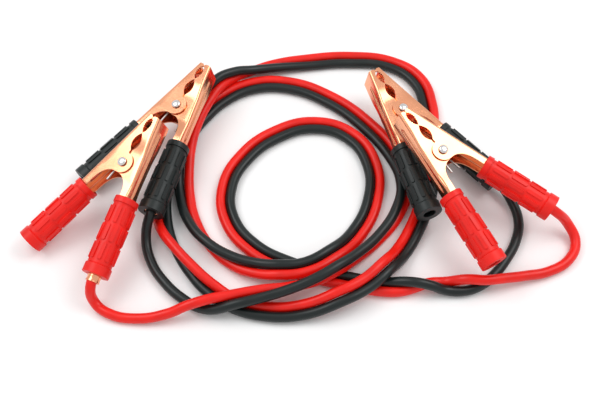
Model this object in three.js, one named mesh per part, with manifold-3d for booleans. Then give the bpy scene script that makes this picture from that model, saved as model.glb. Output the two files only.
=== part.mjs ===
// Car jumper cable: a bonded red and black twin lead, split into singles at both ends,
// with four spring clamps of copper-plated sheet steel and ribbed plastic grips.
// Millimetres, +Z up, the floor at Z = 0. The origin is on the floor, in the middle of the four clamps.
import * as THREE from "three";
import { mergeVertices } from "three/addons/utils/BufferGeometryUtils.js";
import Module from "manifold-3d";

// Clamp jaws: two straight channels of bent sheet that turn on one rivet.
// In a clamp's own frame the rivet is the Z axis, +X points to the tip and the grips lie at -X.
const sheet = 1.2;
const tipX = 46.5;
const webAtRivet = 17.4;
const webAngle = THREE.MathUtils.degToRad(13.8);
const halfWidthTip = 10.8;
const halfWidthGrip = 8.8;
const armHalfWidth = 7.2;
const armTaper = 8;
const armDepth = 7.2;
const lipGap = 0.3;
const frontEyeLength = 15;
const frontEyeHeight = 3.3;
const waistX = 29.3;
const rearEyeLength = 17;
const rearEyeHeight = 3.6;
const toothPitch = 1.9;
const toothDepth = 0.8;
const earRadius = 9.2;
const crotchStartX = -9;
const crotchEndX = -25;
const joggleHalf = 10.5;
const joggleRun = 2.5;
const runningGap = 0.45;
const ribWidth = 4.6;
const ribHeight = 0.9;
const ribTipMargin = 9;
const ribGripMargin = 3;

// Rivet and spring.
const rivetRadius = 2.4;
const rivetHoleGap = 0.25;
const rivetHeadRadius = 3.9;
const rivetHeadHeight = 2.2;
const springWire = 1.8;
const springCoilRadius = 4.6;
const springTurns = 4;
const springLegLength = 18;
const springLegSpread = THREE.MathUtils.degToRad(6);

// Plastic grips: sleeves that are oval at the mouth, where they grip the channel, and round at the end.
const gripStartX = -30;
const gripLength = 67;
const gripInset = 3.9;
const gripRadius = 10.5;
const gripRimRadius = 11.4;
const gripRimLength = 6;
const gripWall = 1.5;
const gripMouthOval = 0.86;
const gripOvalRun = 30;
const gripMouthRadius = 10.2;
const gripMouthDepth = 16;
const gripEndWall = 2.6;
const gripEndHole = 5.4;
const crimpRadius = 5.7;
const crimpLength = 20;
const crimpEndMargin = 1;
const fitGap = 0.3;

// Lead: two round insulated conductors side by side.
const leadDiameter = 8.5;
const bondGap = 0.6;
const leadSides = 8;
const leadInBarrel = 8;

// Where each clamp lies: its rivet, then its yaw, pitch and roll in degrees.
// The outer channel, whose ears lap over the other, is the free one or the one with the cable.
// gripSlip is how far the cable's grip has slid forward off the crimp.
const clamps = [
  { name: "left_black", colour: "black", at: [-97.7, 63, 29.5], turn: [58.6, -8, -7.5], outer: "free", gripSlip: 0 },
  { name: "left_red", colour: "red", at: [-135, -7, 44.8], turn: [55.2, -17, -8.5], outer: "free", gripSlip: 7 },
  { name: "right_black", colour: "black", at: [98.3, 62, 25.2], turn: [121.7, -5.3, 7.5], outer: "cable", gripSlip: 0 },
  { name: "right_red", colour: "red", at: [126.3, 2.6, 48.2], turn: [134.2, -11.5, 0], outer: "cable", gripSlip: 0 },
];

// The bonded stretch of the lead, from the left clamps to the right ones. Each point gives the middle
// of the pair in plan, its lift off the floor where it crosses another stretch, and the angle of the
// red conductor round the black one: 0 on its left, 90 on top of it, -90 beneath it.
const bondedRoute = [
  [-48, -116, 10.3, 0],
  [-22, -110, 9.8, -15],
  [1, -105, 8.5, -48],
  [22, -100, 9.8, -85],
  [39, -89, 9.8, -90],
  [55, -74, 4, -90],
  [75, -55, 0, -92],
  [92, -29, 0, -112],
  [100, 0, 0, -150],
  [93, 32, 0, -180],
  [67, 67, 0, -180],
  [35, 95, 0, -180],
  [-1, 112, 0, -180],
  [-36, 111, 0, -180],
  [-62, 95, 0, -180],
  [-80, 75, 0, -180],
  [-93, 53, 0, -180],
  [-103, 32, 0, -180],
  [-109, 10, 0, -180],
  [-111, -14, 0, -184],
  [-108, -34, 0, -184],
  [-104, -49, 0, -225],
  [-96, -63, 0, -262],
  [-82, -83, 0, -290],
  [-64, -102, 0, -325],
  [-43, -114, 0, -358],
  [-21, -120, 0, -360],
  [11, -122, 2, -345],
  [43, -113, 9.8, -332],
  [63, -100, 9.8, -332],
  [78, -87, 9.8, -335],
  [93, -68, 1, -345],
  [107, -43, 0, -360],
  [116, -20, 0, -360],
  [120, -5, 0, -355],
  [123, 8, 0, -325],
  [124, 17, 0, -280],
  [124, 26, 0, -236],
  [123.3, 35, 0, -200],
  [123, 45, 0, -182],
  [126, 62, 0, -180],
  [126, 86, 0, -185],
  [119, 116, 0, -192],
  [97, 139, 0, -180],
  [55, 141, 0, -180],
  [13, 138, 0, -178],
  [-15, 133, 0, -155],
  [-34, 126, 0, -125],
  [-52, 117, 4.5, -88],
  [-66, 103, 9.8, -45],
  [-77, 86, 9.8, 0],
  [-87, 62, 9.8, 0],
  [-90.5, 38, 9.8, 0],
  [-91, 16, 6, 0],
  [-91.5, -10, 0, -12],
  [-82, -40, 0, -38],
  [-67, -61, 0, -75],
  [-49, -75, 0, -115],
  [-29, -84, 4, -145],
  [-9, -88, 9.8, -165],
  [13, -86, 9.8, -172],
  [34, -74, 8.5, -170],
  [56, -49, 0, -175],
  [72, -15, 0, -180],
  [73, 21, 0, -180],
  [55, 54, 0, -180],
  [21, 68, 0, -180],
  [-13, 52, 0, -180],
  [-40, 31, 0, -180],
  [-55, -2, 0, -180],
  [-51, -34, 0, -180],
  [-31, -63, 0, -180],
  [1, -79, 0, -180],
  [35, -90, 0, -180],
  [67, -97, 0, -180],
  [81, -99, 0, -165],
  [94, -100, 0, -128],
  [105, -99, 0, -88],
  [116, -98, 0, -46],
  [128, -97, 0, -6],
];

// The single ends, from each clamp to the bonded stretch: plan position and lift off the floor.
const singleRoutes = {
  left_red: [
    [-157, -112, 3],
    [-149, -124, 0],
    [-119, -128, 0],
    [-97, -124, 4],
    [-81, -120, 10],
    [-66, -116, 11.5],
  ],
  left_black: [
    [-122, -54, 4],
    [-115, -76, 0],
    [-101, -96, 0],
    [-87, -109, 0],
    [-73, -117, 0],
    [-59, -121, 4],
  ],
  right_red: [
    [236, -42, 8],
    [241, -57, 1],
    [234, -74, 0],
    [215, -85, 0],
    [193, -89, 3],
    [176, -94, 7],
    [161, -98, 9.5],
    [146, -97, 9],
  ],
  right_black: [
    [192, -17, 2],
    [196, -36, 0],
    [191, -55, 0],
    [181, -72, 0],
    [169, -88, 0],
    [155, -99, 0],
    [141, -103, 0],
  ],
};

const wasm = await Module();
wasm.setup();

const metal = new THREE.MeshStandardMaterial({ name: "copper_plate", color: 0xd98a5a, metalness: 1, roughness: 0.22 });
const rivetSteel = new THREE.MeshStandardMaterial({ name: "rivet_steel", color: 0xc9cacc, metalness: 1, roughness: 0.25 });
const springSteel = new THREE.MeshStandardMaterial({ name: "spring_steel", color: 0x8f8f92, metalness: 1, roughness: 0.4 });
const redGrip = new THREE.MeshStandardMaterial({ name: "red_grip", color: 0xe8231b, metalness: 0, roughness: 0.45 });
const blackGrip = new THREE.MeshStandardMaterial({ name: "black_grip", color: 0x262a2b, metalness: 0, roughness: 0.5 });
const redCover = new THREE.MeshStandardMaterial({ name: "red_cover", color: 0xe3201c, metalness: 0, roughness: 0.3 });
const blackCover = new THREE.MeshStandardMaterial({ name: "black_cover", color: 0x202526, metalness: 0, roughness: 0.35 });

// A closed geometry as a solid that can be joined and cut.
function solidOf(geometry) {
  const bare = geometry.clone();
  bare.deleteAttribute("normal");
  bare.deleteAttribute("uv");
  const merged = mergeVertices(bare, 1e-4);
  const mesh = new wasm.Mesh({
    numProp: 3,
    vertProperties: merged.attributes.position.array,
    triVerts: new Uint32Array(merged.index.array),
  });
  return new wasm.Manifold(mesh);
}

function geometryOf(solid) {
  const mesh = solid.getMesh();
  const geometry = new THREE.BufferGeometry();
  geometry.setAttribute("position", new THREE.BufferAttribute(new Float32Array(mesh.vertProperties), 3));
  geometry.setIndex(new THREE.BufferAttribute(new Uint32Array(mesh.triVerts), 1));
  const flat = geometry.toNonIndexed();
  flat.computeVertexNormals();
  return flat;
}

// A shape drawn in X and Y, as a plate of the given thickness centred on Z = 0.
function plate(shape, thickness, curveSegments = 6) {
  const geometry = new THREE.ExtrudeGeometry(shape, { depth: thickness, bevelEnabled: false, curveSegments });
  geometry.translate(0, 0, -thickness / 2);
  return solidOf(geometry);
}

// A closed profile of [radius, height] points turned about the Z axis.
function turned(profile, segments) {
  const points = profile.map(([radius, height]) => new THREE.Vector2(radius, height));
  const geometry = new THREE.LatheGeometry(points, segments);
  geometry.rotateX(Math.PI / 2);
  return geometry;
}

const webSlope = Math.tan(webAngle);
const webY = (x) => webAtRivet - webSlope * x;
const webNormal = new THREE.Vector2(Math.sin(webAngle), Math.cos(webAngle));
const gripDirection = new THREE.Vector2(-Math.cos(webAngle), Math.sin(webAngle));
const gripStart = new THREE.Vector2(gripStartX, webY(gripStartX)).addScaledVector(webNormal, -gripInset);
const armEndX = gripStartX - (gripLength - crimpLength) * Math.cos(webAngle);
const lip = lipGap / 2;

// The edge of a jaw eye from x0 back to x1, a low arch with saw teeth where asked.
function eyeEdge(x0, x1, height, toothed) {
  const length = x0 - x1;
  const steps = toothed ? Math.round(length / toothPitch) * 2 : 8;
  const points = [];
  for (let i = 1; i < steps; i++) {
    const along = i / steps;
    const arch = lip + height * Math.pow(Math.sin(Math.PI * along), 0.75);
    const tooth = toothed && i % 2 === 1 ? -toothDepth : 0;
    points.push([x0 - length * along, Math.max(lip, arch + tooth)]);
  }
  return points;
}

// The side outline of one channel, with its jaw edge along Y = 0 and its web above.
function channelOutline() {
  const shape = new THREE.Shape();
  shape.moveTo(tipX, lip);
  shape.lineTo(tipX, webY(tipX));
  shape.lineTo(armEndX, webY(armEndX));
  shape.lineTo(armEndX, webY(armEndX) - armDepth);
  shape.lineTo(crotchEndX, webY(crotchEndX) - armDepth);
  shape.quadraticCurveTo(crotchStartX, webY(crotchStartX) - armDepth, crotchStartX, lip);
  const rearEyeBack = waistX - rearEyeLength;
  shape.lineTo(rearEyeBack, lip);
  for (const [x, y] of eyeEdge(waistX - 0.5, rearEyeBack, rearEyeHeight, false).reverse()) shape.lineTo(x, y);
  shape.lineTo(waistX - 0.5, lip);
  const frontEyeTip = waistX + frontEyeLength;
  for (const [x, y] of eyeEdge(frontEyeTip, waistX + 0.5, frontEyeHeight, true).reverse()) shape.lineTo(x, y);
  shape.lineTo(frontEyeTip, lip);
  shape.closePath();
  return shape;
}

// The plan outline of a channel, drawn in X and Z: wide at the tip, narrow in the grip,
// and pinched in around the rivet where it nests in the outer channel.
function planOutline(inward, pinch) {
  const width = (x) => halfWidthTip + ((halfWidthGrip - halfWidthTip) * (tipX - x)) / (tipX - gripStartX) - inward;
  const farX = tipX + sheet + 1;
  const backX = armEndX - sheet - 1;
  const pinchIn = sheet + runningGap;
  const half = [[farX, width(farX)]];
  if (pinch) {
    half.push([joggleHalf + joggleRun, width(joggleHalf + joggleRun)]);
    half.push([joggleHalf, width(joggleHalf) - pinchIn]);
    half.push([-joggleHalf, width(-joggleHalf) - pinchIn]);
    half.push([-joggleHalf - joggleRun, width(-joggleHalf - joggleRun)]);
  }
  half.push([gripStartX, width(gripStartX)]);
  half.push([gripStartX - armTaper, armHalfWidth - inward]);
  half.push([backX, armHalfWidth - inward]);
  const shape = new THREE.Shape();
  half.forEach(([x, z], i) => (i ? shape.lineTo(x, z) : shape.moveTo(x, z)));
  half.reverse().forEach(([x, z]) => shape.lineTo(x, -z));
  shape.closePath();
  return shape;
}

const sideSpan = 4 * halfWidthTip;
const planSpan = 200;

// Everything under the web's inner face, as wide as the channel is inside.
function channelHollow(pinch) {
  const under = new THREE.Shape();
  const front = tipX + 10;
  const back = armEndX - 10;
  const drop = sheet / Math.cos(webAngle);
  under.moveTo(front, webY(front) - drop);
  under.lineTo(back, webY(back) - drop);
  under.lineTo(back, -planSpan / 2);
  under.lineTo(front, -planSpan / 2);
  under.closePath();
  return plate(under, sideSpan).intersect(planSolid(sheet, pinch));
}

function planSolid(inward, pinch) {
  const geometry = new THREE.ExtrudeGeometry(planOutline(inward, pinch), { depth: planSpan, bevelEnabled: false });
  geometry.translate(0, 0, -planSpan / 2);
  geometry.rotateX(Math.PI / 2);
  return solidOf(geometry);
}

// A pressed rib along the outside of the web.
function webRib() {
  const front = tipX - ribTipMargin;
  const back = gripStartX + ribGripMargin;
  const length = (front - back) / Math.cos(webAngle);
  const shape = new THREE.Shape();
  shape.moveTo(-ribWidth / 2, -sheet / 2);
  shape.lineTo(ribWidth / 2, -sheet / 2);
  shape.lineTo(ribWidth / 2 - ribHeight, ribHeight);
  shape.lineTo(-ribWidth / 2 + ribHeight, ribHeight);
  shape.closePath();
  const geometry = new THREE.ExtrudeGeometry(shape, { depth: length, bevelEnabled: false });
  geometry.rotateY(-Math.PI / 2);
  geometry.rotateZ(-webAngle);
  geometry.translate(front, webY(front), 0);
  return solidOf(geometry);
}

// The barrel rolled from the end of the cable channel's arm, which grips the conductor.
function crimpBarrel() {
  const inner = leadDiameter / 2 + fitGap;
  const end = crimpLength - crimpEndMargin;
  const geometry = turned(
    [
      [inner, 0],
      [inner, end],
      [crimpRadius, end],
      [crimpRadius, 0],
      [inner, 0],
    ].reverse(),
    16,
  );
  geometry.rotateY(-Math.PI / 2);
  geometry.rotateZ(-webAngle);
  const start = gripStart.clone().addScaledVector(gripDirection, gripLength - crimpLength);
  geometry.translate(start.x, start.y, 0);
  return solidOf(geometry);
}

// The floor of the arm that joins the barrel to the channel.
function crimpNeck() {
  const length = crimpLength / 2;
  const top = webNormal.clone().multiplyScalar(gripInset - sheet / 2);
  const box = new THREE.BoxGeometry(length, sheet, armHalfWidth);
  box.rotateZ(-webAngle);
  const middle = gripStart.clone().addScaledVector(gripDirection, gripLength - crimpLength).add(top);
  box.translate(middle.x, middle.y, 0);
  return solidOf(box);
}

function channel(isOuter, hasCable) {
  const rivetHole = rivetRadius + rivetHoleGap;
  const hole = solidOf(new THREE.CylinderGeometry(rivetHole, rivetHole, sideSpan, 16).rotateX(Math.PI / 2));
  const ear = solidOf(new THREE.CylinderGeometry(earRadius, earRadius, sideSpan, 22).rotateX(Math.PI / 2));
  let solid = plate(channelOutline(), sideSpan).add(ear).intersect(planSolid(0, !isOuter));
  solid = solid.subtract(channelHollow(!isOuter)).subtract(hole).add(webRib());
  if (hasCable) {
    const bore = leadDiameter / 2 + fitGap;
    const passage = new THREE.CylinderGeometry(bore, bore, crimpLength, 16);
    passage.rotateZ(Math.PI / 2 - webAngle);
    const middle = gripStart.clone().addScaledVector(gripDirection, gripLength - crimpLength / 2);
    passage.translate(middle.x, middle.y, 0);
    solid = solid.add(crimpNeck()).subtract(solidOf(passage)).add(crimpBarrel());
  }
  return geometryOf(solid);
}

// A grip along +Z from its mouth. Its mouth is squeezed to an oval in X.
function grip(isOpen) {
  const end = gripLength;
  const bore = gripRadius - gripWall;
  const hole = isOpen ? bore : gripEndHole;
  const endWall = isOpen ? 0 : gripEndWall;
  const bevel = 0.8;
  const profile = [
    [gripMouthRadius, 0],
    [gripRimRadius - bevel, 0],
    [gripRimRadius, bevel],
    [gripRimRadius, gripRimLength - bevel],
    [gripRadius, gripRimLength],
    [gripRadius, gripOvalRun],
    [gripRadius, end - gripRimLength],
    [gripRimRadius, end - gripRimLength + bevel],
    [gripRimRadius, end - bevel],
    [gripRimRadius - bevel, end],
    [hole, end],
  ];
  if (!isOpen) profile.push([hole, end - endWall], [bore, end - endWall]);
  profile.push([bore, gripOvalRun], [bore, gripMouthDepth], [gripMouthRadius, gripMouthDepth - 3], [gripMouthRadius, 0]);
  const geometry = turned(profile, 18);
  const place = geometry.attributes.position;
  for (let i = 0; i < place.count; i++) {
    const oval = gripMouthOval + (1 - gripMouthOval) * Math.min(1, place.getZ(i) / gripOvalRun);
    place.setX(i, place.getX(i) * oval);
  }
  geometry.computeVertexNormals();
  return geometry;
}

// One rivet: a shank with a domed head at each end.
function rivet() {
  const under = halfWidthTip + ((halfWidthGrip - halfWidthTip) * tipX) / (tipX - gripStartX) + fitGap;
  const dome = [];
  for (let i = 1; i <= 3; i++) {
    const angle = (i / 4) * (Math.PI / 2);
    dome.push([rivetHeadRadius * Math.cos(angle), under + 0.4 + (rivetHeadHeight - 0.4) * Math.sin(angle)]);
  }
  const top = [[rivetRadius, under], [rivetHeadRadius, under], [rivetHeadRadius, under + 0.4], ...dome];
  top.push([0, under + rivetHeadHeight]);
  const bottom = top.map(([radius, height]) => [radius, -height]).reverse();
  return turned([...bottom, ...top], 12);
}

class SpringPath extends THREE.Curve {
  getPoint(t, target = new THREE.Vector3()) {
    const height = springTurns * (springWire + 0.3);
    const turnAngle = 2 * Math.PI * springTurns;
    const coilStart = 0.12;
    const coilEnd = 0.88;
    const along = THREE.MathUtils.clamp((t - coilStart) / (coilEnd - coilStart), 0, 1);
    const angle = -Math.PI / 2 - springLegSpread + along * (turnAngle + Math.PI + 2 * springLegSpread);
    const z = (along - 0.5) * height;
    const point = target.set(springCoilRadius * Math.cos(angle), springCoilRadius * Math.sin(angle), z);
    const reach = (Math.max(coilStart - t, t - coilEnd, 0) / coilStart) * springLegLength;
    const side = t < 0.5 ? 1 : -1;
    point.x += -reach * Math.cos(springLegSpread);
    point.y += side * reach * Math.sin(springLegSpread) * -1;
    return point;
  }
}

function spring() {
  const section = new THREE.Shape().absarc(0, 0, springWire / 2, 0, 2 * Math.PI);
  const steps = springTurns * 8 + 8;
  return new THREE.ExtrudeGeometry(section, {
    steps,
    extrudePath: new SpringPath(),
    curveSegments: 3,
    bevelEnabled: false,
  });
}

// A path straight from station to station, with one step of a tube for each.
class StationPath extends THREE.Curve {
  constructor(stations) {
    super();
    this.stations = stations;
  }
  getUtoTmapping(u) {
    return u;
  }
  getPoint(t, target = new THREE.Vector3()) {
    const place = t * (this.stations.length - 1);
    const index = Math.min(Math.floor(place), this.stations.length - 2);
    return target.copy(this.stations[index]).lerp(this.stations[index + 1], place - index);
  }
}

const leadRadius = leadDiameter / 2;
const pairOffset = (leadDiameter + bondGap) / 2;

// The stations of one conductor along the bonded stretch. side is 1 for red and -1 for black.
function bondedStations(side) {
  return bondedRoute.map(([x, y, lift, roll], i) => {
    const before = bondedRoute[Math.max(i - 1, 0)];
    const after = bondedRoute[Math.min(i + 1, bondedRoute.length - 1)];
    const heading = new THREE.Vector2(after[0] - before[0], after[1] - before[1]).normalize();
    const angle = THREE.MathUtils.degToRad(roll);
    const sideways = side * pairOffset * Math.cos(angle);
    const upward = pairOffset * (Math.abs(Math.sin(angle)) + side * Math.sin(angle));
    return new THREE.Vector3(x - sideways * heading.y, y + sideways * heading.x, leadRadius + lift + upward);
  });
}

function singleStations(name) {
  return singleRoutes[name].map(([x, y, lift]) => new THREE.Vector3(x, y, leadRadius + lift));
}

// A whole conductor from the barrel of one clamp to the barrel of the other.
function lead(colour, side, barrels) {
  const stations = [
    ...barrels[`left_${colour}`],
    ...singleStations(`left_${colour}`),
    ...bondedStations(side),
    ...singleStations(`right_${colour}`).reverse(),
    ...barrels[`right_${colour}`].reverse(),
  ];
  return new THREE.ExtrudeGeometry(new THREE.Shape().absarc(0, 0, leadRadius, 0, 2 * Math.PI), {
    steps: stations.length - 1,
    extrudePath: new StationPath(stations),
    curveSegments: leadSides / 2,
    bevelEnabled: false,
  });
}

const model = new THREE.Group();
model.name = "car_jumper_cable";

function named(name, geometry, material) {
  const mesh = new THREE.Mesh(geometry, material);
  mesh.name = name;
  return mesh;
}

// Puts a grip on the arm of a channel, slid forward by slip.
function placeGrip(mesh, slip) {
  const start = gripStart.clone().addScaledVector(gripDirection, -slip);
  const basis = new THREE.Matrix4().makeBasis(
    new THREE.Vector3(webNormal.x, webNormal.y, 0),
    new THREE.Vector3(0, 0, 1),
    new THREE.Vector3(gripDirection.x, gripDirection.y, 0),
  );
  if (basis.determinant() < 0) basis.multiply(new THREE.Matrix4().makeScale(1, -1, 1));
  mesh.quaternion.setFromRotationMatrix(basis);
  mesh.position.set(start.x, start.y, 0);
  return mesh;
}

// Where the conductor of each clamp starts in its barrel, and where it comes out.
const barrels = {};
for (const clamp of clamps) {
  const [yaw, pitch, roll] = clamp.turn.map(THREE.MathUtils.degToRad);
  const whole = new THREE.Group();
  whole.rotation.set(roll, pitch, yaw, "ZYX");
  whole.position.set(...clamp.at);
  const gripMaterial = clamp.colour === "red" ? redGrip : blackGrip;
  // The free half lies at +Y, and the cable half is turned over to -Y.
  const freeHalf = new THREE.Group();
  const cableHalf = new THREE.Group();
  cableHalf.rotation.x = Math.PI;
  freeHalf.add(named(`${clamp.name}_free_jaw`, channel(clamp.outer === "free", false), metal));
  freeHalf.add(placeGrip(named(`${clamp.name}_free_grip`, grip(false), gripMaterial), 0));
  cableHalf.add(named(`${clamp.name}_cable_jaw`, channel(clamp.outer === "cable", true), metal));
  cableHalf.add(placeGrip(named(`${clamp.name}_cable_grip`, grip(true), gripMaterial), clamp.gripSlip));
  whole.add(freeHalf, cableHalf);
  whole.add(named(`${clamp.name}_rivet`, rivet(), rivetSteel));
  whole.add(named(`${clamp.name}_spring`, spring(), springSteel));
  model.add(whole);
  whole.updateMatrixWorld(true);
  barrels[clamp.name] = [-leadInBarrel, 3].map((reach) => {
    const along = gripStart.clone().addScaledVector(gripDirection, gripLength - crimpEndMargin + reach);
    return cableHalf.localToWorld(new THREE.Vector3(along.x, along.y, 0));
  });
}
model.add(named("red_lead", lead("red", 1, barrels), redCover));
model.add(named("black_lead", lead("black", -1, barrels), blackCover));

export default model;
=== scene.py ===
"""A bonded red and black jumper lead laid in loops, with its four sheet-metal spring clamps."""

import math

import bmesh
import bpy
from mathutils import Matrix, Vector


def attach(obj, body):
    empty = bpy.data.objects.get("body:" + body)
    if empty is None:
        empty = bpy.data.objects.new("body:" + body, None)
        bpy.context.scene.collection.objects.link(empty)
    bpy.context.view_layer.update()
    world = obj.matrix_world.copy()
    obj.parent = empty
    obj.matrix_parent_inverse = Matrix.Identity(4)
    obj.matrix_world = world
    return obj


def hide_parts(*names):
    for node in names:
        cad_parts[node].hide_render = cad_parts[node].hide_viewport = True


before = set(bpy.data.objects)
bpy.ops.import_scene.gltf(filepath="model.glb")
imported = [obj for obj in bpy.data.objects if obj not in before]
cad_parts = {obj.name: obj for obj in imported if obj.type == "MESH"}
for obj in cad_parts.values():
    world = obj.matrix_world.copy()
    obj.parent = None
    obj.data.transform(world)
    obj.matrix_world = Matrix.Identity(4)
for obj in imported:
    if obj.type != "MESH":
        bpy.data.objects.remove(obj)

bl_info = {
    "name": "Jumper cable",
    "version": (1, 0, 0),
    "blender": (4, 5, 0),
    "location": "3D View > Sidebar > Jumper cable",
    "description": "Dresses the solids of a car jumper cable: leads, clamps, grips and stage",
    "category": "Add Mesh",
}

MM = 0.001
ROOT = "leads_and_fixed_halves"
HALVES = ("free", "cable")

# The clamp's own frame, in millimetres: the rivet is the Z axis, +X points to the tip,
# the free half lies at +Y and the cable half is turned over to -Y.
TIP_X = 46.5
WEB_AT_RIVET = 17.4
WEB_ANGLE = math.radians(13.8)
HALF_WIDTH_TIP = 10.8
HALF_WIDTH_GRIP = 8.8
ARM_HALF_WIDTH = 7.2
ARM_TAPER = 8.0
ARM_DEPTH = 7.2
LIP = 0.15
NOSE = 2.2
NOSE_STEPS = 5
FRONT_EYE_HEIGHT = 3.3
FRONT_EYE_SKEW = 0.85
FRONT_EYE_FULLNESS = 0.75
WAIST_X = 29.3
WAIST_LENGTH = 1.0
REAR_EYE_LENGTH = 17.0
REAR_EYE_HEIGHT = 3.6
REAR_EYE_FULLNESS = 0.85
EYE_STEPS = 16
TOOTH_DEPTH = 0.8
TEETH_END_STEP = 12
EAR_RADIUS = 9.2
EAR_STEPS = 20
CROTCH_START_X = -9.0
CROTCH_END_X = -25.0
CROTCH_STEPS = 12
NEST_HALF = 10.5
NEST_RUN = 17.0
RUNNING_GAP = 0.45
RIB_FRONT_X = 37.5
RIB_BACK_X = -27.0
RIB_TOP = 0.7
RIB_FOOT = 2.8

RIVET_RADIUS = 2.4
RIVET_HEAD_RADIUS = 3.9
RIVET_HEAD_HEIGHT = 2.2
RIVET_RIM = 0.5
RIVET_UNDER = 10.34
DOME_STEPS = 8
SPRING_WIRE = 1.8
SPRING_GAP = 0.3
SPRING_COIL_RADIUS = 4.6
SPRING_TURNS = 4
SPRING_LEG = 18.0
SPRING_LEG_SHARE = 0.12
SPRING_SPREAD = math.radians(6)
SPRING_STEPS = 180

GRIP_START_X = -30.0
GRIP_LENGTH = 67.0
GRIP_INSET = 3.9
GRIP_RADIUS = 10.3
GRIP_RIM_RADIUS = 11.4
GRIP_RIM_LENGTH = 6.0
GRIP_END_RIM_LENGTH = 7.8
GRIP_GROOVE = 0.5
GRIP_WALL = 1.5
GRIP_OVAL = 0.86
GRIP_OVAL_RUN = 30.0
GRIP_MOUTH_RADIUS = 10.2
GRIP_MOUTH_DEPTH = 16.0
GRIP_END_WALL = 2.6
FREE_END_HOLE = 5.4
CABLE_END_HOLE = 6.1
BAR_ROWS = 3
BAR_PITCH = 16.2
BAR_START = 9.6
BAR_LENGTH = 14.4
BAR_WIDTH = 3.2
BAR_SUNK = 0.7
BAR_CORNER = 1.0

CRIMP_RADIUS = 5.7
CRIMP_WAIST_RADIUS = 5.3
CRIMP_MOUTH_RADIUS = 5.9
CRIMP_BORE_RADIUS = 4.5
CRIMP_LENGTH = 20.0
CRIMP_END_MARGIN = 1.0
LEAD_IN_BARREL = 8.0
LEAD_STRAIGHT = 3.0

# Name, colour, rivet in millimetres, yaw, pitch and roll in degrees, outer half, slip of the cable's grip.
CLAMPS = (
    ("left_black", "black", (-97.7, 63, 29.5), (58.6, -8, -7.5), "free", 0),
    ("left_red", "red", (-135, -7, 44.8), (55.2, -17, -8.5), "free", 7),
    ("right_black", "black", (98.3, 62, 25.2), (121.7, -5.3, 7.5), "cable", 0),
    ("right_red", "red", (126.3, 2.6, 48.2), (134.2, -11.5, 0), "cable", 0),
)

# The bonded stretch, in millimetres: plan of the pair's middle, its lift off the floor, and the
# angle of the red conductor round the black one.
BONDED_ROUTE = (
    (-48, -116, 10.3, 0), (-22, -110, 9.8, -15), (1, -105, 8.5, -48), (22, -100, 9.8, -85),
    (39, -89, 9.8, -90), (55, -74, 4, -90), (75, -55, 0, -92), (92, -29, 0, -112),
    (100, 0, 0, -150), (93, 32, 0, -180), (67, 67, 0, -180), (35, 95, 0, -180),
    (-1, 112, 0, -180), (-36, 111, 0, -180), (-62, 95, 0, -180), (-80, 75, 0, -180),
    (-93, 53, 0, -180), (-103, 32, 0, -180), (-109, 10, 0, -180), (-111, -14, 0, -184),
    (-108, -34, 0, -184), (-104, -49, 0, -225), (-96, -63, 0, -262), (-82, -83, 0, -290),
    (-64, -102, 0, -325), (-43, -114, 0, -358), (-21, -120, 0, -360), (11, -122, 2, -345),
    (43, -113, 9.8, -332), (63, -100, 9.8, -332), (78, -87, 9.8, -335), (93, -68, 1, -345),
    (107, -43, 0, -360), (116, -20, 0, -360), (120, -5, 0, -355), (123, 8, 0, -325),
    (124, 17, 0, -280), (124, 26, 0, -236), (123.3, 35, 0, -200), (123, 45, 0, -182),
    (126, 62, 0, -180), (126, 86, 0, -185), (119, 116, 0, -192), (97, 139, 0, -180),
    (55, 141, 0, -180), (13, 138, 0, -178), (-15, 133, 0, -155), (-34, 126, 0, -125),
    (-52, 117, 4.5, -88), (-66, 103, 9.8, -45), (-77, 86, 9.8, 0), (-87, 62, 9.8, 0),
    (-90.5, 38, 9.8, 0), (-91, 16, 6, 0), (-91.5, -10, 0, -12), (-82, -40, 0, -38),
    (-67, -61, 0, -75), (-49, -75, 0, -115), (-29, -84, 4, -145), (-9, -88, 9.8, -165),
    (13, -86, 9.8, -172), (34, -74, 8.5, -170), (56, -49, 0, -175), (72, -15, 0, -180),
    (73, 21, 0, -180), (55, 54, 0, -180), (21, 68, 0, -180), (-13, 52, 0, -180),
    (-40, 31, 0, -180), (-55, -2, 0, -180), (-51, -34, 0, -180), (-31, -63, 0, -180),
    (1, -79, 0, -180), (35, -90, 0, -180), (67, -97, 0, -180), (81, -99, 0, -165),
    (94, -100, 0, -128), (105, -99, 0, -88), (116, -98, 0, -46), (128, -97, 0, -6),
)

# The single ends from each clamp to the bonded stretch, in millimetres: plan and lift.
SINGLE_ROUTES = {
    "left_red": (
        (-157, -112, 3), (-149, -124, 0), (-119, -128, 0), (-97, -124, 4), (-81, -120, 10),
        (-66, -116, 11.5),
    ),
    "left_black": (
        (-122, -54, 4), (-115, -76, 0), (-101, -96, 0), (-87, -109, 0), (-73, -117, 0),
        (-59, -121, 4),
    ),
    "right_red": (
        (236, -42, 8), (241, -57, 1), (234, -74, 0), (215, -85, 0), (193, -89, 3), (176, -94, 7),
        (161, -98, 9.5), (146, -97, 9),
    ),
    "right_black": (
        (192, -17, 2), (196, -36, 0), (191, -55, 0), (181, -72, 0), (169, -88, 0), (155, -99, 0),
        (141, -103, 0),
    ),
}

# Pulls that smooth the routes in plan. Each is followed by one that gives the loops their size back.
EASING = (0.5, -0.53, 0.5, -0.53)

# The camera and the two soft boxes, in metres and watts, and the strength of the light all round.
CAMERA_PLACE = (0.009, -0.473, 0.738)
CAMERA_TARGET = (0.009, -0.012, 0)
LENS = 60
BOX_PLACE = (0.72, 0.25, 1.1)
BOX_SIZE = (0.8, 0.7)
BOX_POWER = 6.0
BOX_LEAN = 0.3
ROUND_LIGHT = 0.75


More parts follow.
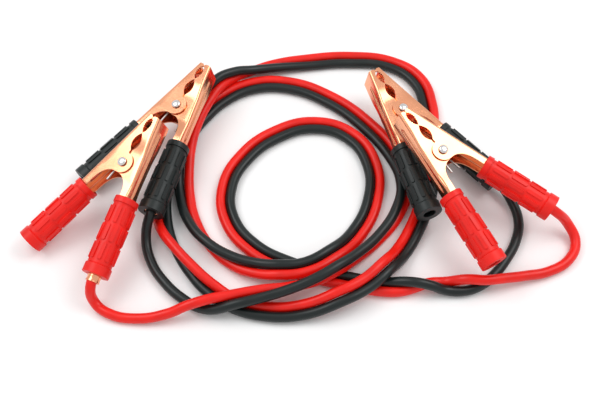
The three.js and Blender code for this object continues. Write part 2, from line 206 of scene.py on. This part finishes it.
class JumperCableSettings(bpy.types.PropertyGroup):
    """Sizes and colours of the jumper cable that a user may change."""

    lead_diameter: bpy.props.FloatProperty(
        name="Lead diameter", description="Outside of one insulated conductor",
        default=0.0085, min=0.004, max=0.009, unit="LENGTH", subtype="DISTANCE",
    )
    cover_gap: bpy.props.FloatProperty(
        name="Cover gap", description="Space between the two covers of the bonded pair",
        default=0.0001, min=0.0, max=0.001, unit="LENGTH", subtype="DISTANCE",
    )
    sheet: bpy.props.FloatProperty(
        name="Sheet", description="Thickness of the sheet that the jaws are bent from",
        default=0.0012, min=0.0005, max=0.0018, unit="LENGTH", subtype="DISTANCE",
    )
    bend_radius: bpy.props.FloatProperty(
        name="Bend radius", description="Outside radius of the bends along a jaw",
        default=0.0022, min=0.0019, max=0.004, unit="LENGTH", subtype="DISTANCE",
    )
    rib_height: bpy.props.FloatProperty(
        name="Rib height", description="How far the pressed rib stands out of the web",
        default=0.0010, min=0.0, max=0.002, unit="LENGTH", subtype="DISTANCE",
    )
    bar_height: bpy.props.FloatProperty(
        name="Bar height", description="How far the moulded bars stand out of a grip",
        default=0.0010, min=0.0002, max=0.0014, unit="LENGTH", subtype="DISTANCE",
    )
    bars_around: bpy.props.IntProperty(
        name="Bars around", description="Moulded bars in each row round a grip", default=10, min=4, max=14,
    )
    copper_colour: bpy.props.FloatVectorProperty(
        name="Copper plate", description="Colour of the plating on the jaws",
        default=(0.95, 0.405, 0.22), min=0.0, max=1.0, size=3, subtype="COLOR",
    )
    red_colour: bpy.props.FloatVectorProperty(
        name="Red plastic", description="Colour of the red grips and cover",
        default=(0.80, 0.008, 0.003), min=0.0, max=1.0, size=3, subtype="COLOR",
    )
    black_colour: bpy.props.FloatVectorProperty(
        name="Black plastic", description="Colour of the black grips and cover",
        default=(0.007, 0.012, 0.012), min=0.0, max=1.0, size=3, subtype="COLOR",
    )


def settings():
    return bpy.context.scene.jumper_cable


def web_y(x):
    """Height of the web's outside over the jaw's edge line."""
    return WEB_AT_RIVET - math.tan(WEB_ANGLE) * x


WEB_NORMAL = Vector((math.sin(WEB_ANGLE), math.cos(WEB_ANGLE), 0))
GRIP_DIRECTION = Vector((-math.cos(WEB_ANGLE), math.sin(WEB_ANGLE), 0))
GRIP_START = Vector((GRIP_START_X, web_y(GRIP_START_X), 0)) - WEB_NORMAL * GRIP_INSET
ARM_END_X = GRIP_START_X - (GRIP_LENGTH - CRIMP_LENGTH) * math.cos(WEB_ANGLE)


def clamp_place(clamp, half="free"):
    """Millimetres in a half's own frame to metres in the row's."""
    yaw, pitch, roll = (math.radians(angle) for angle in clamp[3])
    place = Matrix.Scale(MM, 4) @ Matrix.Translation(clamp[2])
    place = place @ Matrix.Rotation(yaw, 4, "Z") @ Matrix.Rotation(pitch, 4, "Y")
    place = place @ Matrix.Rotation(roll, 4, "X")
    return place @ Matrix.Rotation(math.pi, 4, "X") if half == "cable" else place


def grip_place(slip=0.0):
    """A frame with Z along a grip from its mouth and X square to the web."""
    columns = (WEB_NORMAL, GRIP_DIRECTION.cross(WEB_NORMAL), GRIP_DIRECTION)
    turn = Matrix(columns).transposed().to_4x4()
    return Matrix.Translation(GRIP_START - GRIP_DIRECTION * slip) @ turn


def body_of_half(clamp, half):
    return ROOT if half == "cable" else f"{clamp[0]}_free_half"


def smooth(t):
    t = min(1.0, max(0.0, t))
    return t * t * (3 - 2 * t)


def piece_from(bm, name, place, material, body):
    """Ends a mesh piece: places it in its mesh, gives it its finish, and lets it ride on its body."""
    bmesh.ops.transform(bm, matrix=place, verts=bm.verts)
    mesh = bpy.data.meshes.new(name)
    bm.to_mesh(mesh)
    bm.free()
    mesh.materials.append(material)
    mesh.shade_smooth()
    piece = bpy.data.objects.new(name, mesh)
    bpy.context.scene.collection.objects.link(piece)
    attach(piece, body)
    return piece


def rounded(piece, width, segments=2, angle=40):
    """Takes the sharpness off the edges of a piece."""
    edges = piece.modifiers.new("Rounded edges", "BEVEL")
    edges.width = width
    edges.segments = segments
    edges.limit_method = "ANGLE"
    edges.angle_limit = math.radians(angle)
    edges.harden_normals = True


def spun(profile, steps, closed):
    """A mesh turned about Z from a profile of radius and height."""
    bm = bmesh.new()
    verts = [bm.verts.new((radius, 0, height)) for radius, height in profile]
    edges = [bm.edges.new(pair) for pair in zip(verts, verts[1:])]
    if closed:
        edges.append(bm.edges.new((verts[-1], verts[0])))
    bmesh.ops.spin(
        bm, geom=verts + edges, cent=(0, 0, 0), axis=(0, 0, 1), dvec=(0, 0, 0),
        angle=2 * math.pi, steps=steps, use_merge=True,
    )
    bmesh.ops.remove_doubles(bm, verts=bm.verts, dist=1e-4)
    bmesh.ops.recalc_face_normals(bm, faces=bm.faces)
    return bm


class Nodes:
    """A short way to wire a procedural material."""

    def __init__(self, name):
        self.material = bpy.data.materials.new(name)
        self.material.use_nodes = True
        self.tree = self.material.node_tree
        self.shader = self.tree.nodes["Principled BSDF"]

    def add(self, kind, **values):
        node = self.tree.nodes.new(kind)
        for key, value in values.items():
            if key in node.inputs:
                node.inputs[key].default_value = value
            else:
                setattr(node, key, value)
        return node

    def link(self, output, socket):
        self.tree.links.new(output, socket)

    def noise(self, scale, stretch=(1, 1, 1), source="Object", detail=3.0):
        """Noise on the piece's own coordinates, squeezed by stretch."""
        place = self.add("ShaderNodeTexCoord")
        mapping = self.add("ShaderNodeMapping", Scale=stretch)
        texture = self.add("ShaderNodeTexNoise", Scale=scale, Detail=detail)
        self.link(place.outputs[source], mapping.inputs["Vector"])
        self.link(mapping.outputs["Vector"], texture.inputs["Vector"])
        return texture.outputs["Fac"]

    def spread(self, factor, low, high, start=0.3, end=0.7):
        """Runs a factor from low to high."""
        node = self.add("ShaderNodeMapRange")
        node.inputs["From Min"].default_value = start
        node.inputs["From Max"].default_value = end
        node.inputs["To Min"].default_value = low
        node.inputs["To Max"].default_value = high
        self.link(factor, node.inputs["Value"])
        return node.outputs["Result"]

    def blend(self, factor, first, second):
        """Two colours mixed by a factor."""
        node = self.add("ShaderNodeMix", data_type="RGBA")
        colours = [socket for socket in node.inputs if socket.type == "RGBA"]
        colours[0].default_value = (*first, 1)
        colours[1].default_value = (*second, 1)
        self.link(factor, node.inputs["Factor"])
        return next(socket for socket in node.outputs if socket.type == "RGBA")

    def bump(self, height, strength, distance):
        node = self.add("ShaderNodeBump", Strength=strength, Distance=distance)
        self.link(height, node.inputs["Height"])
        self.link(node.outputs["Normal"], self.shader.inputs["Normal"])


def shade(colour, factor):
    return tuple(min(1.0, channel * factor) for channel in colour)


def copper_plate():
    """Bright copper plating over rolled sheet: a faint grain along the jaw and patches of duller plating."""
    made = bpy.data.materials.get("copper_plate_finish")
    if made:
        return made
    nodes = Nodes("copper_plate_finish")
    colour = tuple(settings().copper_colour)
    patches = nodes.noise(45.0, detail=4.0)
    grain = nodes.noise(1.0, stretch=(60, 2200, 1), source="UV", detail=2.0)
    warm = (min(1.0, colour[0] * 1.03), colour[1] * 1.12, colour[2] * 1.2)
    nodes.link(nodes.blend(nodes.spread(patches, 0, 1), colour, warm), nodes.shader.inputs["Base Color"])
    nodes.shader.inputs["Metallic"].default_value = 1.0
    nodes.link(nodes.spread(patches, 0.13, 0.22), nodes.shader.inputs["Roughness"])
    nodes.bump(grain, 0.12, 0.0002)
    return nodes.material


def bright_nickel():
    """Nickel plate with light handling marks."""
    made = bpy.data.materials.get("bright_nickel_finish")
    if made:
        return made
    nodes = Nodes("bright_nickel_finish")
    marks = nodes.noise(600.0, detail=4.0)
    nodes.link(nodes.blend(marks, (0.70, 0.69, 0.67), (0.86, 0.86, 0.86)), nodes.shader.inputs["Base Color"])
    nodes.shader.inputs["Metallic"].default_value = 1.0
    nodes.link(nodes.spread(marks, 0.14, 0.26), nodes.shader.inputs["Roughness"])
    nodes.bump(marks, 0.08, 0.0001)
    return nodes.material


def drawn_wire():
    """Spring wire with the fine lines that drawing leaves."""
    made = bpy.data.materials.get("drawn_wire_finish")
    if made:
        return made
    nodes = Nodes("drawn_wire_finish")
    lines = nodes.noise(900.0, detail=3.0)
    nodes.link(nodes.blend(lines, (0.50, 0.47, 0.44), (0.72, 0.70, 0.68)), nodes.shader.inputs["Base Color"])
    nodes.shader.inputs["Metallic"].default_value = 1.0
    nodes.link(nodes.spread(lines, 0.24, 0.38), nodes.shader.inputs["Roughness"])
    nodes.bump(lines, 0.1, 0.0001)
    return nodes.material


def plastic(name, colour, roughness, grain_scale, grain_strength):
    """Moulded or extruded plastic: a fine skin grain, and slow changes in colour and gloss."""
    made = bpy.data.materials.get(name)
    if made:
        return made
    nodes = Nodes(name)
    slow = nodes.noise(60.0, detail=2.0)
    skin = nodes.noise(grain_scale, detail=3.0)
    tone = nodes.blend(nodes.spread(slow, 0, 1), shade(colour, 0.9), shade(colour, 1.08))
    nodes.link(tone, nodes.shader.inputs["Base Color"])
    nodes.link(nodes.spread(slow, roughness - 0.05, roughness + 0.06), nodes.shader.inputs["Roughness"])
    nodes.shader.inputs["IOR"].default_value = 1.42
    nodes.bump(skin, grain_strength, 0.0002)
    return nodes.material


def grip_plastic(colour_name):
    colour = tuple(getattr(settings(), f"{colour_name}_colour"))
    return plastic(f"{colour_name}_grip_finish", colour, 0.42, 1500.0, 0.14)


def cover_plastic(colour_name):
    colour = tuple(getattr(settings(), f"{colour_name}_colour"))
    return plastic(f"{colour_name}_cover_finish", colour, 0.34, 900.0, 0.07)


def wire_piece(name, points, radius, material, body, smooth_path):
    """A round wire or cover along points in metres, as a curve of one open spline."""
    curve = bpy.data.curves.new(name, "CURVE")
    curve.dimensions = "3D"
    curve.bevel_depth = radius
    curve.bevel_resolution = 6
    curve.use_fill_caps = True
    if smooth_path:
        curve.resolution_u = 8
        spline = curve.splines.new("BEZIER")
        spline.bezier_points.add(len(points) - 1)
        for knot, point in zip(spline.bezier_points, points):
            knot.co = point
        for knot in spline.bezier_points:
            knot.handle_left_type = knot.handle_right_type = "AUTO"
    else:
        spline = curve.splines.new("POLY")
        spline.points.add(len(points) - 1)
        for knot, point in zip(spline.points, points):
            knot.co = (*point, 1)
    spline.use_smooth = True
    curve.materials.append(material)
    piece = bpy.data.objects.new(name, curve)
    bpy.context.scene.collection.objects.link(piece)
    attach(piece, body)
    return piece


def barrel_points(clamp):
    """Where a conductor ends in its barrel, and where it comes out, in metres."""
    place = clamp_place(clamp, "cable")
    mouth = GRIP_LENGTH - CRIMP_END_MARGIN
    reaches = (mouth - LEAD_IN_BARREL, mouth + LEAD_STRAIGHT)
    return [place @ (GRIP_START + GRIP_DIRECTION * reach) for reach in reaches]


def eased_plan(points, pull):
    """Draws each point of a route towards the line between its neighbours in plan. A pull back of
    about the same size follows, so that small wobbles go and the loops keep their size."""
    eased = list(points)
    for i in range(2, len(points) - 2):
        away = (points[i - 1] + points[i + 1]) / 2 - points[i]
        eased[i] = points[i] + Vector((away.x, away.y, 0)) * pull
    return eased


def lead_points(colour, side):
    """The route of one conductor from clamp to clamp, in metres."""
    radius = settings().lead_diameter / 2
    offset = radius + settings().cover_gap / 2
    clamps = {clamp[0]: clamp for clamp in CLAMPS}
    left, right = f"left_{colour}", f"right_{colour}"

    def single(name):
        return [Vector((x * MM, y * MM, radius + lift * MM)) for x, y, lift in SINGLE_ROUTES[name]]

    points = barrel_points(clamps[left]) + single(left)
    last = len(BONDED_ROUTE) - 1
    for i, (x, y, lift, roll) in enumerate(BONDED_ROUTE):
        before, after = BONDED_ROUTE[max(i - 1, 0)], BONDED_ROUTE[min(i + 1, last)]
        heading = Vector((after[0] - before[0], after[1] - before[1])).normalized()
        sideways = side * offset * math.cos(math.radians(roll))
        rise = math.sin(math.radians(roll))
        upward = offset * (abs(rise) + side * rise)
        height = radius + lift * MM + upward
        points.append(Vector((x * MM - sideways * heading.y, y * MM + sideways * heading.x, height)))
    points += single(right)[::-1] + barrel_points(clamps[right])[::-1]
    for pull in EASING:
        points = eased_plan(points, pull)
    return points


class JUMPER_OT_camera(bpy.types.Operator):
    """Camera over the near edge of the floor, at the photograph's angle"""

    bl_idname = "jumper.camera"
    bl_label = "Camera"

    def execute(self, context):
        data = bpy.data.cameras.new("view")
        data.lens = LENS
        data.sensor_width = 36
        data.clip_start = 0.02
        camera = bpy.data.objects.new("view", data)
        camera.location = CAMERA_PLACE
        heading = Vector(CAMERA_TARGET) - camera.location
        camera.rotation_euler = heading.to_track_quat("-Z", "Y").to_euler()
        context.scene.collection.objects.link(camera)
        context.scene.camera = camera
        return {"FINISHED"}


class JUMPER_OT_leads(bpy.types.Operator):
    """Red and black conductors in their round covers, bonded side by side between the clamps"""

    bl_idname = "jumper.leads"
    bl_label = "Leads"

    def execute(self, context):
        for colour, side in (("red", 1), ("black", -1)):
            points = lead_points(colour, side)
            lead = wire_piece(
                f"{colour}_cover", points, settings().lead_diameter / 2,
                cover_plastic(colour), ROOT, True,
            )
            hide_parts(f"{colour}_lead")
        return {"FINISHED"}


def eye_stations():
    """The jaw's edge from its rounded nose to the back of the rear eye."""
    stations = []
    for i in range(NOSE_STEPS + 1):
        angle = math.pi / 2 * i / NOSE_STEPS
        stations.append((TIP_X - NOSE + NOSE * math.cos(angle), LIP + NOSE - NOSE * math.sin(angle)))
    front, waist = TIP_X - NOSE, WAIST_X + WAIST_LENGTH / 2
    for i in range(1, EYE_STEPS):
        along = i / EYE_STEPS
        arch = LIP + FRONT_EYE_HEIGHT * math.sin(math.pi * along**FRONT_EYE_SKEW) ** FRONT_EYE_FULLNESS
        tooth = TOOTH_DEPTH if i % 2 and i < TEETH_END_STEP else 0
        stations.append((front - (front - waist) * along, max(LIP, arch - tooth)))
    rear, back = waist - WAIST_LENGTH, WAIST_X - REAR_EYE_LENGTH
    stations += [(waist, LIP), (rear, LIP)]
    for i in range(1, EYE_STEPS):
        along = i / EYE_STEPS
        height = LIP + REAR_EYE_HEIGHT * math.sin(math.pi * along) ** REAR_EYE_FULLNESS
        stations.append((rear - (rear - back) * along, height))
    return stations + [(back, LIP), (NEST_HALF, LIP)]


def arm_stations():
    """The edge round the ear, up the crotch and along the arm."""
    stations = []
    for i in range(EAR_STEPS + 1):
        angle = math.pi * i / EAR_STEPS
        stations.append((EAR_RADIUS * math.cos(angle), min(LIP, -EAR_RADIUS * math.sin(angle))))
    corner, end = web_y(CROTCH_START_X) - ARM_DEPTH, web_y(CROTCH_END_X) - ARM_DEPTH
    for i in range(2, CROTCH_STEPS + 1):
        t = i / CROTCH_STEPS
        x = CROTCH_START_X + (CROTCH_END_X - CROTCH_START_X) * t * t
        stations.append((x, LIP * (1 - t) ** 2 + 2 * t * (1 - t) * corner + t * t * end))
    for x in (-26, -27, -28, -29, GRIP_START_X, -34, -38, -50, ARM_END_X):
        stations.append((x, web_y(x) - ARM_DEPTH))
    return stations


def half_width(x, pinched):
    """Half the outside width of a channel, pinched in at the rivet where it nests in the other."""
    width = HALF_WIDTH_TIP + (HALF_WIDTH_GRIP - HALF_WIDTH_TIP) * (TIP_X - x) / (TIP_X - GRIP_START_X)
    if x < GRIP_START_X:
        width = HALF_WIDTH_GRIP + (ARM_HALF_WIDTH - HALF_WIDTH_GRIP) * min(1, (GRIP_START_X - x) / ARM_TAPER)
    if pinched:
        inward = settings().sheet / MM + RUNNING_GAP
        width -= inward * (1 - smooth((abs(x) - NEST_HALF) / NEST_RUN))
    return width


WEB_COLUMNS = (-3.6, -2.8, -2.3, -1.8, -1.3, -0.7, 0, 0.7, 1.3, 1.8, 2.3, 2.8, 3.6)
FLANGE_ROWS = 6
BEND_STEPS = 5


def channel_section(x, edge, pinched):
    """The points across a channel, from the edge of one flange over the web to the other."""
    bend = settings().bend_radius / MM
    width, top = half_width(x, pinched), web_y(x) - bend
    flange = [(edge + (top - edge) * row / FLANGE_ROWS, width) for row in range(FLANGE_ROWS)]
    for step in range(BEND_STEPS + 1):
        angle = math.pi / 2 * step / BEND_STEPS
        flange.append((top + bend * math.sin(angle), width - bend + bend * math.cos(angle)))
    points = [Vector((x, y, -z)) for y, z in flange]
    beyond = max(0.0, x - (RIB_FRONT_X - RIB_FOOT), (RIB_BACK_X + RIB_FOOT) - x)
    for z in WEB_COLUMNS:
        away = math.hypot(z, beyond)
        rise = settings().rib_height / MM * (1 - smooth((away - RIB_TOP) / (RIB_FOOT - RIB_TOP)))
        points.append(Vector((x, web_y(x), z)) + WEB_NORMAL * rise)
    return points + [Vector((x, y, z)) for y, z in reversed(flange)]


def channel_sheet(pinched):
    """A flat blank folded into one jaw channel, with the grain of the sheet in its UV map."""
    stations = eye_stations() + arm_stations()
    sections = [channel_section(x, edge, pinched) for x, edge in stations]
    rows, columns = len(sections) - 1, len(sections[0]) - 1
    bm = bmesh.new()
    bmesh.ops.create_grid(bm, x_segments=rows, y_segments=columns, size=1)
    flat = {}
    for vert in bm.verts:
        i, j = round((vert.co.x + 1) / 2 * rows), round((vert.co.y + 1) / 2 * columns)
        vert.co = sections[i][j]
        half = sections[i][: j + 1]
        flat[vert] = (vert.co.x * MM, sum((b - a).length for a, b in zip(half, half[1:])) * MM)
    grain = bm.loops.layers.uv.new("grain")
    for face in bm.faces:
        for loop in face.loops:
            loop[grain].uv = flat[loop.vert]
    return bm


class JUMPER_OT_jaws(bpy.types.Operator):
    """Jaw halves bent from copper-plated sheet, each with its eyes, teeth, ears and pressed rib"""

    bl_idname = "jumper.jaws"
    bl_label = "Jaws"

    def execute(self, context):
        for clamp in CLAMPS:
            for half in HALVES:
                name = f"{clamp[0]}_{half}_jaw"
                jaw = piece_from(
                    channel_sheet(clamp[4] != half), f"{name}_sheet", clamp_place(clamp, half),
                    copper_plate(), body_of_half(clamp, half),
                )
                wall = jaw.modifiers.new("Sheet", "SOLIDIFY")
                wall.thickness = settings().sheet
                wall.offset = -1
                wall.use_even_offset = True
                rounded(jaw, 0.00022)
                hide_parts(name)
        return {"FINISHED"}


class JUMPER_OT_barrels(bpy.types.Operator):
    """Crimped barrels at the end of each cable jaw, with a waist where the tool has closed them"""

    bl_idname = "jumper.barrels"
    bl_label = "Crimp barrels"

    def execute(self, context):
        end = CRIMP_LENGTH - CRIMP_END_MARGIN
        outside = [
            (CRIMP_RADIUS, 0), (CRIMP_RADIUS, 4), (CRIMP_WAIST_RADIUS, 6), (CRIMP_WAIST_RADIUS, 9),
            (CRIMP_RADIUS, 11), (CRIMP_RADIUS, 15), (CRIMP_RADIUS - 0.2, 16), (CRIMP_MOUTH_RADIUS, end),
        ]
        closed_bore = CRIMP_BORE_RADIUS - 0.1
        inside = [(CRIMP_BORE_RADIUS, end), (closed_bore, 9), (closed_bore, 6), (CRIMP_BORE_RADIUS, 0)]
        for clamp in CLAMPS:
            place = clamp_place(clamp, "cable") @ grip_place()
            place = place @ Matrix.Translation((0, 0, GRIP_LENGTH - CRIMP_LENGTH))
            barrel = piece_from(
                spun(outside + inside, 28, True), f"{clamp[0]}_crimp_barrel", place,
                copper_plate(), ROOT,
            )
            rounded(barrel, 0.0003)
        return {"FINISHED"}


def grip_profile(end_hole):
    """Radius and height round the wall of a grip, from its mouth."""
    bore, neck, end = GRIP_RADIUS - GRIP_WALL, GRIP_RADIUS - GRIP_GROOVE, GRIP_LENGTH
    far_rim, end_wall = end - GRIP_END_RIM_LENGTH, end - GRIP_END_WALL
    return [
        (GRIP_MOUTH_RADIUS, 0), (GRIP_RIM_RADIUS, 0), (GRIP_RIM_RADIUS, GRIP_RIM_LENGTH - 1),
        (neck, GRIP_RIM_LENGTH - 0.6), (neck, GRIP_RIM_LENGTH + 0.4), (GRIP_RADIUS, GRIP_RIM_LENGTH + 1),
        (GRIP_RADIUS, GRIP_OVAL_RUN), (GRIP_RADIUS, far_rim - 1.2), (neck + 0.2, far_rim - 0.8),
        (GRIP_RIM_RADIUS, far_rim), (GRIP_RIM_RADIUS, end), (end_hole, end), (end_hole, end_wall),
        (bore, end_wall), (bore, GRIP_OVAL_RUN), (bore, GRIP_MOUTH_DEPTH),
        (GRIP_MOUTH_RADIUS, GRIP_MOUTH_DEPTH - 3),
    ]


def oval(height):
    """How flat a grip is at a height over its mouth, up to 1 where it is round."""
    return GRIP_OVAL + (1 - GRIP_OVAL) * min(1, height / GRIP_OVAL_RUN)


def add_bars(bm):
    """Rows of bars round the grip, each row turned half a step on the last."""
    count, height = settings().bars_around, settings().bar_height / MM
    for row in range(BAR_ROWS):
        middle = GRIP_RIM_LENGTH + BAR_START + row * BAR_PITCH
        across, upright = GRIP_RADIUS * oval(middle), GRIP_RADIUS
        for k in range(count):
            angle = 2 * math.pi * (k + 0.5 * (row % 2)) / count
            surface = Vector((across * math.cos(angle), upright * math.sin(angle), middle))
            outward = Vector((math.cos(angle) / oval(middle), math.sin(angle), 0)).normalized()
            place = Matrix.Translation(surface + outward * (height - BAR_SUNK) / 2)
            place = place @ Matrix.Rotation(math.atan2(outward.y, outward.x), 4, "Z")
            size = Matrix.Diagonal((height + BAR_SUNK, BAR_WIDTH, BAR_LENGTH, 1))
            bar = bmesh.ops.create_cube(bm, size=1, matrix=place @ size)
            edges = dict.fromkeys(edge for vert in bar["verts"] for edge in vert.link_edges)
            corners = [e for e in edges if abs((e.verts[0].co - e.verts[1].co).dot(outward)) > 0.5]
            bmesh.ops.bevel(
                bm, geom=corners, offset=BAR_CORNER, segments=2, profile=0.5, affect="EDGES", material=-1,
            )


class JUMPER_OT_grips(bpy.types.Operator):
    """Soft plastic grips with rims at both ends and rows of moulded bars"""

    bl_idname = "jumper.grips"
    bl_label = "Grips"

    def execute(self, context):
        for clamp in CLAMPS:
            for half in HALVES:
                hole, slip = (CABLE_END_HOLE, clamp[5]) if half == "cable" else (FREE_END_HOLE, 0)
                bm = spun(grip_profile(hole), 56, True)
                for vert in bm.verts:
                    vert.co.x *= oval(vert.co.z)
                add_bars(bm)
                name = f"{clamp[0]}_{half}_grip"
                grip = piece_from(
                    bm, f"{name}_moulding", clamp_place(clamp, half) @ grip_place(slip),
                    grip_plastic(clamp[1]), body_of_half(clamp, half),
                )
                rounded(grip, 0.00045, segments=3, angle=30)
                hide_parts(name)
        return {"FINISHED"}


class JUMPER_OT_rivets(bpy.types.Operator):
    """Domed steel rivets that the jaws turn on"""

    bl_idname = "jumper.rivets"
    bl_label = "Rivets"

    def execute(self, context):
        crown = RIVET_UNDER + RIVET_RIM
        dome = [(RIVET_RADIUS, RIVET_UNDER), (RIVET_HEAD_RADIUS, RIVET_UNDER), (RIVET_HEAD_RADIUS, crown)]
        for step in range(1, DOME_STEPS + 1):
            angle = math.pi / 2 * step / DOME_STEPS
            rise = (RIVET_HEAD_HEIGHT - RIVET_RIM) * math.sin(angle)
            dome.append((RIVET_HEAD_RADIUS * math.cos(angle), crown + rise))
        profile = [(radius, -height) for radius, height in reversed(dome)] + dome
        for clamp in CLAMPS:
            name = f"{clamp[0]}_rivet"
            rivet = piece_from(
                spun(profile, 40, False), f"{name}_head", clamp_place(clamp), bright_nickel(), ROOT,
            )
            rounded(rivet, 0.00015)
            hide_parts(name)
        return {"FINISHED"}


class JUMPER_OT_springs(bpy.types.Operator):
    """Torsion springs of drawn wire round each rivet"""

    bl_idname = "jumper.springs"
    bl_label = "Springs"

    def execute(self, context):
        height = SPRING_TURNS * (SPRING_WIRE + SPRING_GAP)
        share = SPRING_LEG_SHARE
        sweep = 2 * math.pi * SPRING_TURNS + math.pi + 2 * SPRING_SPREAD
        for clamp in CLAMPS:
            place, points = clamp_place(clamp), []
            for i in range(SPRING_STEPS + 1):
                t = i / SPRING_STEPS
                along = min(1.0, max(0.0, (t - share) / (1 - 2 * share)))
                angle = -math.pi / 2 - SPRING_SPREAD + along * sweep
                reach = max(share - t, t - 1 + share, 0) / share * SPRING_LEG
                side = -1 if t < 0.5 else 1
                x = SPRING_COIL_RADIUS * math.cos(angle) - reach * math.cos(SPRING_SPREAD)
                y = SPRING_COIL_RADIUS * math.sin(angle) + side * reach * math.sin(SPRING_SPREAD)
                points.append(place @ Vector((x, y, (along - 0.5) * height)))
            name = f"{clamp[0]}_spring"
            spring = wire_piece(
                f"{name}_wire", points, SPRING_WIRE / 2 * MM, drawn_wire(), ROOT, False,
            )
            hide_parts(name)
        return {"FINISHED"}


def soft_box(name, side):
    """An area light over one side of the floor, leaning a little inward."""
    x, y, z = BOX_PLACE
    data = bpy.data.lights.new(name, "AREA")
    data.shape = "RECTANGLE"
    data.size, data.size_y = BOX_SIZE
    data.energy = BOX_POWER
    light = bpy.data.objects.new(name, data)
    light.location = (side * x, y, z)
    light.rotation_euler = Vector((side * x * BOX_LEAN, 0, z)).to_track_quat("Z", "Y").to_euler()
    bpy.context.scene.collection.objects.link(light)


class JUMPER_OT_stage(bpy.types.Operator):
    """Plain pale floor under soft studio light"""

    bl_idname = "jumper.stage"
    bl_label = "Stage"

    def execute(self, context):
        bm = bmesh.new()
        bmesh.ops.create_grid(bm, x_segments=1, y_segments=1, size=4)
        mesh = bpy.data.meshes.new("floor")
        bm.to_mesh(mesh)
        bm.free()
        nodes = Nodes("floor_finish")
        tone = nodes.blend(nodes.noise(2.0), (0.90, 0.90, 0.90), (0.93, 0.93, 0.93))
        nodes.link(tone, nodes.shader.inputs["Base Color"])
        nodes.shader.inputs["Roughness"].default_value = 0.6
        mesh.materials.append(nodes.material)
        floor = bpy.data.objects.new("floor", mesh)
        context.scene.collection.objects.link(floor)
        soft_box("left_box", -1)
        soft_box("right_box", 1)
        world = bpy.data.worlds.new("studio")
        world.use_nodes = True
        background = world.node_tree.nodes["Background"]
        background.inputs["Color"].default_value = (1, 1, 1, 1)
        background.inputs["Strength"].default_value = ROUND_LIGHT
        context.scene.world = world
        context.scene.view_settings.view_transform = "Standard"
        return {"FINISHED"}


OPERATORS = (
    JUMPER_OT_camera, JUMPER_OT_leads, JUMPER_OT_jaws, JUMPER_OT_barrels, JUMPER_OT_grips,
    JUMPER_OT_rivets, JUMPER_OT_springs, JUMPER_OT_stage,
)


class JUMPER_PT_panel(bpy.types.Panel):
    """Sizes, colours and pieces of the jumper cable"""

    bl_label = "Jumper cable"
    bl_idname = "JUMPER_PT_panel"
    bl_space_type = "VIEW_3D"
    bl_region_type = "UI"
    bl_category = "Jumper cable"

    def draw(self, context):
        column = self.layout.column()
        for name in JumperCableSettings.__annotations__:
            column.prop(context.scene.jumper_cable, name)
        for operator in OPERATORS:
            column.operator(operator.bl_idname)


def register():
    for cls in (JumperCableSettings, *OPERATORS, JUMPER_PT_panel):
        bpy.utils.register_class(cls)
    bpy.types.Scene.jumper_cable = bpy.props.PointerProperty(type=JumperCableSettings)


def unregister():
    del bpy.types.Scene.jumper_cable
    for cls in (JUMPER_PT_panel, *reversed(OPERATORS), JumperCableSettings):
        bpy.utils.unregister_class(cls)


def main():
    register()
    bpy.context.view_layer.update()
    bpy.ops.jumper.camera()
    bpy.ops.jumper.leads()
    bpy.ops.jumper.jaws()
    bpy.ops.jumper.barrels()
    bpy.ops.jumper.grips()
    bpy.ops.jumper.rivets()
    bpy.ops.jumper.springs()
    bpy.ops.jumper.stage()


if __name__ == "__main__":
    main()
